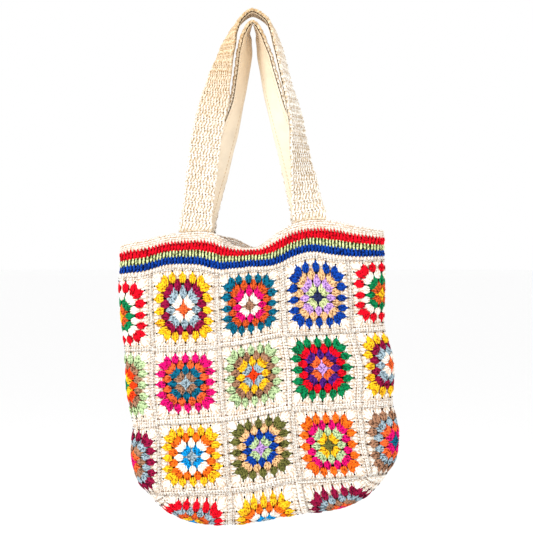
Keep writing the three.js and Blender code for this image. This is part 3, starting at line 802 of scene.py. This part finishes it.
# Rounds of a square, from the middle outwards. Distances from the middle: where the tips of
# its clusters reach, where their feet start, where the clusters at the corners start, and
# how far across and out their tips reach. Then a cluster's width; as shares of that width
# how far its outer strands stand off at the foot and at the tip; as shares of its length
# how much later they start and how much sooner they end; and how proud the cluster lies.
ROUND_NAMES = (
    "tip", "foot", "corner_foot", "corner_across", "corner_out", "width", "foot_spread",
    "tip_spread", "late", "shorter", "proud",
)
ROUNDS = (
    (0.0130, -0.0010, 0, 0, 0, 0.0088, 0.20, 0.02, 0, 0.32, 0.0004),
    (0.0172, 0, 0.0046, 0.0080, 0.0176, 0.0100, 0.14, 0.20, 0, 0.04, 0.0004),
    (0.0264, 0.0116, 0.0104, 0.0145, 0.0250, 0.0108, 0.16, 0.10, 0, 0.0, 0.0004),
    (0.0338, 0.0194, 0.0168, 0.0216, 0.0316, 0.0108, 0.18, 0.10, 0, 0.0, 0.0004),
    (0.0440, 0.0274, 0.0236, 0.0286, 0.0416, 0.0106, 0.20, 0.04, 0, 0.12, 0.0014),
    (0.0450, 0.0352, 0.0316, 0.0362, 0.0450, 0.0122, 0.18, 0.34, 0.22, 0.0, 0.0),
)
CLUSTER_PITCH = 0.0147
CLUSTER_TILT = 0.0016
STRAND_SHARE = 0.38  # a strand's width, as a share of its cluster's
OUTER_THICK, MIDDLE_THICK = 0.0040, 0.0044
MIDDLE_PROUD = 0.0003  # the middle strand stands over the outer two

# The edge of a square, in distances from its middle
EDGE_PITCH = 0.0040
EDGE_LINE, EDGE_REACH = 0.0460, 0.0018  # the slanted stitches, and how far they go each way
EDGE_LEAN = 0.0015
SEAM_RIDGE = 0.0490  # the raised line beside each seam
SEWING_FROM, SEWING_TO, SEWING_LEAN = 0.0494, 0.0529, 0.0010
SMALL_THICK = 0.0036
CORNER_FOOT, CORNER_TIP = 0.0330, 0.0465
CORNER_PROUD = -0.0006  # the cream clusters at the corners lie lower
PINHOLE_LINE, CORNER_PINHOLE = 0.0474, (0.0474, 0.0470)
PINHOLE, WIDE_PINHOLE, TIP_HOLE = 0.0018, 0.0022, 0.0026

# Slots of a square's yarns: the five coloured rounds come first
CREAM_SLOT = 5
SHADOW_SLOT = 6
SHADE_SLOT = 7
PINHOLE_SHADE_SLOT = 8


def cluster(bm, foot, tip, row, slot):
    """Three strands that share one foot: the outer two bow out and stop short of the tip. The
    foot lies over the tips of the round before."""
    foot, tip = np.array(foot) + uneven(0.0003, 2), np.array(tip) + uneven(0.0004, 2)
    way = tip - foot
    side = np.array([way[1], -way[0]]) / np.linalg.norm(way)
    strand = row["width"] * STRAND_SHARE
    rise = FABRIC_MIDDLE + row["proud"]
    for shape, turn in ((LEFT_STRAND, -1), (RIGHT_STRAND, 1)):
        start = foot + side * turn * row["width"] * row["foot_spread"] + way * row["late"]
        end = tip + side * turn * row["width"] * row["tip_spread"] - way * row["shorter"]
        add_strand(bm, shape, start, end, strand, OUTER_THICK, rise, slot, CLUSTER_TILT)
    rise += MIDDLE_PROUD
    add_strand(bm, POST, foot, tip, strand, MIDDLE_THICK, rise, slot, CLUSTER_TILT)


def square_side(number, row):
    """Feet and tips of one side's clusters of a round, as if that side faced up."""
    for k in range(number + 1):
        x = (k - number / 2) * CLUSTER_PITCH
        if number and k in (0, number):
            foot, across = row["corner_foot"], row["corner_across"]
            yield (math.copysign(foot, x), foot), (math.copysign(across, x), row["corner_out"])
        else:
            yield (x, row["foot"]), (x, row["tip"])


def add_edge(bm, turned):
    """The crocheted edge of one side: slanted stitches, a raised line and the sewing."""
    count = round(SQUARE / EDGE_PITCH)
    pitch = SQUARE / count
    for i in range(count):
        x = -SQUARE / 2 + (i + 0.5) * pitch
        lean, out = EDGE_LEAN + uneven(0.0014), EDGE_LINE + uneven(0.0008)
        low, high = out - EDGE_REACH, out + EDGE_REACH
        for start, end, width, rise in (
            ((x - lean, low), (x + lean, high), 0.0042, -0.0010),
            ((x - pitch * 0.8, SEAM_RIDGE), (x + pitch * 0.8, SEAM_RIDGE), 0.0034, -0.0004),
            ((x - SEWING_LEAN, SEWING_FROM), (x + SEWING_LEAN, SEWING_TO), 0.0050, -0.0006),
        ):
            start, end = turned(start), turned(end)
            add_strand(bm, SMALL, start, end, width, SMALL_THICK, rise, CREAM_SLOT)


def add_hole(bm, place, size, slot, height=0.0010):
    """A spot of painted shade where the fabric opens between stitches."""
    start, end = (place[0], place[1] - size / 2), (place[0], place[1] + size / 2)
    add_strand(bm, SMALL, start, end, size, 0.0014, height, slot)


def flat_square():
    """A granny square of six rounds, flat, with its sewn edge."""
    bm = bmesh.new()
    bm.loops.layers.uv.new("yarn")
    rounds = [dict(zip(ROUND_NAMES, row)) for row in ROUNDS]
    last = len(rounds) - 1
    for cos, sin in ((1, 0), (0, 1), (-1, 0), (0, -1)):

        def turned(p):
            return p[0] * cos - p[1] * sin, p[0] * sin + p[1] * cos

        for number, row in enumerate(rounds):
            for foot, tip in square_side(number, row):
                cluster(bm, turned(foot), turned(tip), row, number)
                if number == last - 1:
                    add_hole(bm, turned((tip[0], tip[1] - 0.0004)), TIP_HOLE, SHADOW_SLOT)
                if number == last:
                    beside = (tip[0] + CLUSTER_PITCH / 2, PINHOLE_LINE)
                    add_hole(bm, turned(beside), PINHOLE, PINHOLE_SHADE_SLOT)
        corner = dict(rounds[last], proud=CORNER_PROUD)
        foot, tip = (CORNER_FOOT, CORNER_FOOT), (CORNER_TIP, CORNER_TIP)
        cluster(bm, turned(foot), turned(tip), corner, last)
        add_hole(bm, turned(CORNER_PINHOLE), WIDE_PINHOLE, PINHOLE_SHADE_SLOT)
        add_edge(bm, turned)
    half = SQUARE / 2 + SEAM_GAP / 2
    coloured, cream = rounds[last]["foot"], rounds[last]["tip"]

    # The ground shows painted shade between the stitches: a painted shadow under the coloured
    # rounds, a painted tan shade under the cream, and the plain cream yarn at the seams.
    def ground_slot(middle):
        reach = max(abs(middle.x), abs(middle.y))
        if reach < coloured:
            return SHADOW_SLOT
        return SHADE_SLOT if reach < cream else CREAM_SLOT

    add_ground(bm, (-half, -half), (half, half), (16, 16), FABRIC_MIDDLE, ground_slot)
    return as_mesh(bm, "flat_square")


def flat_points(mesh):
    """The places of a mesh's points, a row for each."""
    points = np.zeros(len(mesh.vertices) * 3)
    mesh.vertices.foreach_get("co", points)
    return points.reshape(-1, 3)


def laid(name, flat, surface, first, second, height, materials):
    """A copy of a flat mesh, laid onto a curved form as a finished piece."""
    mesh = flat.copy()
    points, facings = surface.at(first, second)
    mesh.vertices.foreach_set("co", tilted(points + facings * height[:, None]).ravel())
    for material in materials:
        mesh.materials.append(material)
    mesh.update()
    piece = bpy.data.objects.new(name, mesh)
    bpy.context.scene.collection.objects.link(piece)
    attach(piece, "root")
    return piece


# Each square's scheme, and how its coloured rounds sit in it: how wide and tall they reach
# for the flat size, and how far they have crept right and up, as shares of the square.
SQUARES = {
    "front_square_r1c1": ("plum", 1.09, 0.97, -0.005, -0.02),
    "front_square_r1c2": ("lagoon", 1.04, 0.94, -0.01, 0.0),
    "front_square_r1c3": ("night", 1.1, 0.96, 0.02, -0.035),
    "front_square_r2c1": ("fuchsia", 1.06, 0.99, -0.01, 0.035),
    "front_square_r2c2": ("sunny", 1.0, 1.02, -0.035, 0.055),
    "front_square_r2c3": ("violet", 1.07, 1.06, -0.045, 0.03),
    "front_square_r3c1": ("beach", 1.07, 1.05, 0.0, 0.035),
    "front_square_r3c2": ("forest", 1.08, 1.04, 0.0, 0.055),
    "front_square_r3c3": ("garden", 1.02, 1.11, -0.01, -0.015),
    "left_side_square_1": ("cherry", 1.05, 0.96, 0.01, -0.035),
    "left_side_square_2": ("meadow", 1.05, 1.08, 0.01, 0.035),
    "left_side_square_3": ("berry", 1.05, 1.07, 0.045, -0.015),
    "right_side_square_1": ("cherry", 1.05, 0.96, -0.005, 0.0),
    "right_side_square_2": ("plum", 1.05, 1.07, -0.01, 0.025),
    "right_side_square_3": ("harbour", 1.05, 1.12, -0.02, -0.03),
    "bottom_square_1": ("cove", 0.95, 1.0, 0.035, 0.055),
    "bottom_square_2": ("beach", 0.95, 1.0, -0.045, 0.06),
    "bottom_square_3": ("berry", 0.95, 1.0, -0.08, 0.035),
}
BACK_SCHEMES = (
    ("sunny", "berry", "harbour"),
    ("night", "cherry", "beach"),
    ("lagoon", "plum", "meadow"),
)
for back_row, back_schemes in enumerate(BACK_SCHEMES, 1):
    for back_column, back_scheme in enumerate(back_schemes, 1):
        SQUARES[f"back_square_r{back_row}c{back_column}"] = (back_scheme, 1.06, 1.0, 0.0, 0.0)

COLOURED = 0.42  # the coloured rounds reach this far from the middle, as a share of a square


def eased(share, stretch, creep):
    """Places across a square, -0.5 to 0.5, with its coloured rounds stretched and moved while
    its seams stay where they are."""
    low, high = creep - COLOURED * stretch, creep + COLOURED * stretch
    return np.interp(share, [-0.51, -COLOURED, COLOURED, 0.51], [-0.51, low, high, 0.51])


def square_place(name):
    """Where a side square starts: its place round the body and down it."""
    row = int(name[-1]) - 1
    if name.startswith("left"):
        return -FIRST_COLUMN, row
    if name.startswith("right"):
        return FIRST_COLUMN + COLUMNS, row
    row, col = int(name[-3]) - 1, int(name[-1]) - 1
    return (FIRST_COLUMN + col, row) if name.startswith("front") else (ROUND - 1.5 - col, row)


def make_squares(body, bottom):
    """Every square is the same flat square in its own yarns, laid where it belongs."""
    flat = flat_square()
    points = flat_points(flat)
    for name, (scheme, wide, tall, right, up) in SQUARES.items():
        across = 0.5 + eased(points[:, 0] / SQUARE, wide, right)
        down = 0.5 - eased(points[:, 1] / SQUARE, tall, up)
        colours = [yarns[colour] for colour in (*SCHEMES[scheme], *GROUND_YARNS)]
        if name.startswith("bottom"):
            surface, first, second = bottom, int(name[-1]) - 1 + across, down
        else:
            around, row = square_place(name)
            surface, first, second = body, np.mod(around + across, ROUND), row + down
        piece = laid(f"crochet_{name}", flat, surface, first, second, points[:, 2], colours)
        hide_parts(name)


# Bands and handles

BANDS = {
    "base_band": ("base", "cream", "cream_shade", "cream_yarn"),
    "blue_stripe": ("blue", "royal_blue", "blue_shade", "blue_yarn"),
    "green_stripe": ("green", "pale_lime", "green_shade", "green_yarn"),
    "red_stripe": ("red", "red", "red_shade", "red_yarn"),
    "rim_band": ("rim", "cream", "cream_shade", "cream_yarn"),
}
BAND_ORDER = tuple(BANDS)

# How far a band's stitches reach down and up, how far they slant, and their width in pitches
BAND_STITCH = {
    "base_band": (0.0030, 0.0008, 0.0016, 0.84),
    "blue_stripe": (0.0, 0.0014, -0.0016, 0.92),
    "green_stripe": (0.0012, 0.0010, 0.0004, 0.70),
    "red_stripe": (0.0014, 0.0006, 0.0018, 0.95),
    "rim_band": (-0.0006, 0.0006, -0.0010, 0.70),
}
BAND_STITCHES = 160
BAND_THICK = 0.0042
CHAIN_ROWS = 3  # the low rows of chain stitches along the rim
CHAIN_HEIGHT = 0.0032
SPIKE_WIDTH = 0.66  # in pitches
SPIKE_THICK = 0.0036
SPIKE_HEIGHT = FABRIC_MIDDLE + 0.0012


def flat_band(name, below, height):
    """A closed band of tall slanted stitches, worked from the squares upwards. They reach
    between the stitches of the bands above and below."""
    bm = bmesh.new()
    bm.loops.layers.uv.new("yarn")
    pitch = ROUND * SQUARE / BAND_STITCHES
    down, up, slant, width = BAND_STITCH[name]
    high = below + height
    if name == BAND_ORDER[-1]:
        high -= CHAIN_ROWS * CHAIN_HEIGHT
    for i in range(BAND_STITCHES):
        x = (i + 0.5 * (BAND_ORDER.index(name) % 2)) * pitch + uneven(0.0003)
        lean = slant / 2 + uneven(0.0004)
        start, end = (x - lean, below - down + uneven(0.0004)), (x + lean, high + up)
        add_strand(bm, POST, start, end, pitch * width, BAND_THICK, FABRIC_MIDDLE, 0)
        # Red spikes reach up into the rim, and blue ones down into the base band.
        if name == "red_stripe":
            start, end = (x + 0.0018, high - 0.0060), (x - 0.0018, high + 0.0042 + uneven(0.0006))
            add_strand(bm, SPIKE, start, end, pitch * SPIKE_WIDTH, SPIKE_THICK, SPIKE_HEIGHT, 0)
        if name == "blue_stripe":
            start, end = (x - 0.0016, below - 0.0016), (x + 0.0018, below + 0.0068)
            add_strand(bm, SPIKE, start, end, pitch * SPIKE_WIDTH, SPIKE_THICK, SPIKE_HEIGHT, 0)
        if name == BAND_ORDER[-1]:
            for row in range(CHAIN_ROWS):
                middle = x + (row % 2) * pitch / 2
                y = high + (row + 0.5) * CHAIN_HEIGHT + uneven(0.0002)
                start, end = (middle - pitch * 0.7, y - 0.0005), (middle + pitch * 0.7, y + 0.0005)
                add_strand(bm, SMALL, start, end, 0.0034, BAND_THICK, FABRIC_MIDDLE + 0.0002, 0)
    # The sheet under the stitches is painted in the band's shade colour, seen between them.
    add_ground(
        bm, (0, below), (ROUND * SQUARE, below + height - 0.0004), (ROUND * 12, 2),
        FABRIC_MIDDLE, lambda middle: 1,
    )
    return as_mesh(bm, f"flat_{name}")


def make_bands(body):
    """The bands, one above the other from the squares up."""
    below = 0
    for name, (size, colour, ground, slot) in BANDS.items():
        height = BAND_HEIGHTS[size]
        flat = flat_band(name, below, height)
        points = flat_points(flat)
        first, second = np.mod(points[:, 0] / SQUARE, ROUND), -points[:, 1] / BAND_HEIGHT
        materials = [yarns[colour], yarns[ground]]
        piece = laid(f"crochet_{name}", flat, body, first, second, points[:, 2], materials)
        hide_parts(name)
        below += height


STRAP_STITCHES = 10
STRAP_ROW = 0.0136
STRAP_SLANT = -0.0024
STRAP_STITCH = (0.76, 0.0046)  # a stitch's width in pitches, and its thickness
KNOT = 0.0064  # a knot's length along the strap
KNOT_STITCH = (1.2, 0.0052)  # a knot's width in pitches, and its thickness
KNOT_LEAN = 0.0006
STRAP_HOLE = 0.0019
STRAP_YARN_SLOT, STRAP_GAP_SHADE_SLOT, STRAP_HOLE_SHADE_SLOT = 0, 1, 2
HEM_RISE = 0.0004  # the turned edge makes the cloth this much thicker
CLOTH_THICKNESS = LINING_THICKNESS - HEM_RISE


def flat_handle(length):
    """A flat strap of tall slanted stitches in rows. A line of knots covers each place where
    two rows meet, with a small hole of painted shade between neighbouring knots."""
    bm = bmesh.new()
    bm.loops.layers.uv.new("yarn")
    rows = round(length / STRAP_ROW)
    row_height = length / rows
    pitch = STRAP_WIDTH / STRAP_STITCHES
    half = STRAP_WIDTH / 2
    for row in range(rows):
        low = row * row_height
        for i in range(STRAP_STITCHES):
            x = -half + (i + 0.5) * pitch
            start, end = (x - STRAP_SLANT, low), (x + STRAP_SLANT, low + row_height)
            wide, thick = STRAP_STITCH
            add_strand(bm, POST, start, end, pitch * wide, thick, 0, STRAP_YARN_SLOT)
            if not row:
                continue
            x, y = x + uneven(0.0003), low + uneven(0.0003)
            start, end = (x + KNOT_LEAN, y - KNOT / 2), (x - KNOT_LEAN, y + KNOT / 2)
            wide, thick = KNOT_STITCH
            add_strand(bm, POST, start, end, pitch * wide, thick, 0, STRAP_YARN_SLOT)
            if i:
                add_hole(bm, (x - pitch / 2, y), STRAP_HOLE, STRAP_HOLE_SHADE_SLOT, 0.0020)
    # The sheet under the stitches is painted in the shade seen between them.
    add_ground(
        bm, (-half + 0.001, 0), (half - 0.001, length), (4, rows * 2), 0,
        lambda middle: STRAP_GAP_SHADE_SLOT,
    )
    return as_mesh(bm, "flat_handle")


def flat_lining(length):
    """A strip of cloth with its two long edges turned under and stitched down."""
    width = STRAP_WIDTH - 2 * LINING_MARGIN
    bm = bmesh.new()
    bmesh.ops.create_grid(bm, x_segments=20, y_segments=160, size=0.5)
    for vert in bm.verts:
        from_edge = (0.5 - abs(vert.co.x)) * width
        hem = HEM_RISE * (1 - smooth(from_edge, HEM - 0.0006, HEM + 0.0002))
        vert.co = Vector((vert.co.x * width, (vert.co.y + 0.5) * length, hem))
    uv = bm.loops.layers.uv.new("cloth")
    for face in bm.faces:
        face.smooth = True
        for loop in face.loops:
            loop[uv].uv = (loop.vert.co.x, loop.vert.co.y)
    bmesh.ops.solidify(bm, geom=bm.faces[:], thickness=-CLOTH_THICKNESS)
    return as_mesh(bm, "flat_lining")


def handle_places(points, length):
    """Places across and along a handle for flat points."""
    return points[:, 0] / (STRAP_WIDTH / 2), points[:, 1] / length


def make_handles(body):
    """Both handles, each with the cotton lining sewn under it."""
    for side, handle in HANDLES.items():
        surface, length = handle_surface(body, handle)
        flat = flat_handle(length)
        points = flat_points(flat)
        first, second = handle_places(points, length)
        # Across the handle the solids count from its outer edge, so the sign is turned.
        strap = laid(
            f"crochet_{side}_handle", flat, surface, -first, second, points[:, 2],
            # the strap yarn, the painted shade between its stitches, and the painted shade in its
            # holes
            [strap_yarn, yarns["strap_gap_shade"], yarns["tan"]],
        )
        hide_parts(f"{side}_handle")
        flat = flat_lining(length)
        points = flat_points(flat)
        first, second = handle_places(points, length)
        under = -STRAP_THICKNESS / 2 - LINING_GAP - points[:, 2]
        lining = laid(f"cotton_{side}_lining", flat, surface, first, second, under, [cotton])
        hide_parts(f"{side}_handle_lining")


body = body_surface()
bottom = bottom_surface(body)
make_squares(body, bottom)
make_bands(body)
make_handles(body)

# Floor, light and camera

FLOOR_LEVEL = -1.25
FLOOR_SIZE = 400
bm = bmesh.new()
floor_place = Matrix.Translation((0, 0, FLOOR_LEVEL))
bmesh.ops.create_grid(bm, x_segments=1, y_segments=1, size=FLOOR_SIZE, matrix=floor_place)
floor_mesh = as_mesh(bm, "pale_floor")
floor = bpy.data.objects.new("pale_floor", floor_mesh)
bpy.context.scene.collection.objects.link(floor)
floor_paint = bpy.data.materials.new("matte_pale_paint")
floor_paint.use_nodes = True
paint_shader = floor_paint.node_tree.nodes["Principled BSDF"]
paint_shader.inputs["Base Color"].default_value = linear("FCFCFC")
paint_shader.inputs["Roughness"].default_value = 1.0
floor_mesh.materials.append(floor_paint)

world = bpy.data.worlds.new("white_room")
bpy.context.scene.world = world
world.use_nodes = True
background = world.node_tree.nodes["Background"]
background.inputs["Color"].default_value = linear("FFFFFF")
background.inputs["Strength"].default_value = 1.0


def area_light(name, place, target, size, power):
    """A round soft light, turned to its target."""
    light = bpy.data.lights.new(name, "AREA")
    light.shape, light.size, light.energy = "DISK", size, power
    lamp = bpy.data.objects.new(name, light)
    lamp.location = place
    lamp.rotation_euler = (Vector(target) - Vector(place)).to_track_quat("-Z", "Y").to_euler()
    bpy.context.scene.collection.objects.link(lamp)


MIDDLE = (0.0196, 0.0, -0.3516)
area_light("window_left", (-1.9, -1.9, 1.0), MIDDLE, 1.2, 69)
area_light("soft_fill_right", (2.3, -1.4, 0.9), MIDDLE, 1.6, 30)

DISTANCE = 2.2
VIEW_WIDTH = 0.77285  # seen across the hanging point's plane
camera_data = bpy.data.cameras.new("camera")
camera_data.sensor_width = 36
camera_data.lens = camera_data.sensor_width * DISTANCE / VIEW_WIDTH
camera = bpy.data.objects.new("camera", camera_data)
camera.location = (MIDDLE[0], -DISTANCE, MIDDLE[2])
camera.rotation_euler = (math.pi / 2, 0, 0)
bpy.context.scene.collection.objects.link(camera)
bpy.context.scene.camera = camera
bpy.context.scene.view_settings.view_transform = "Standard"
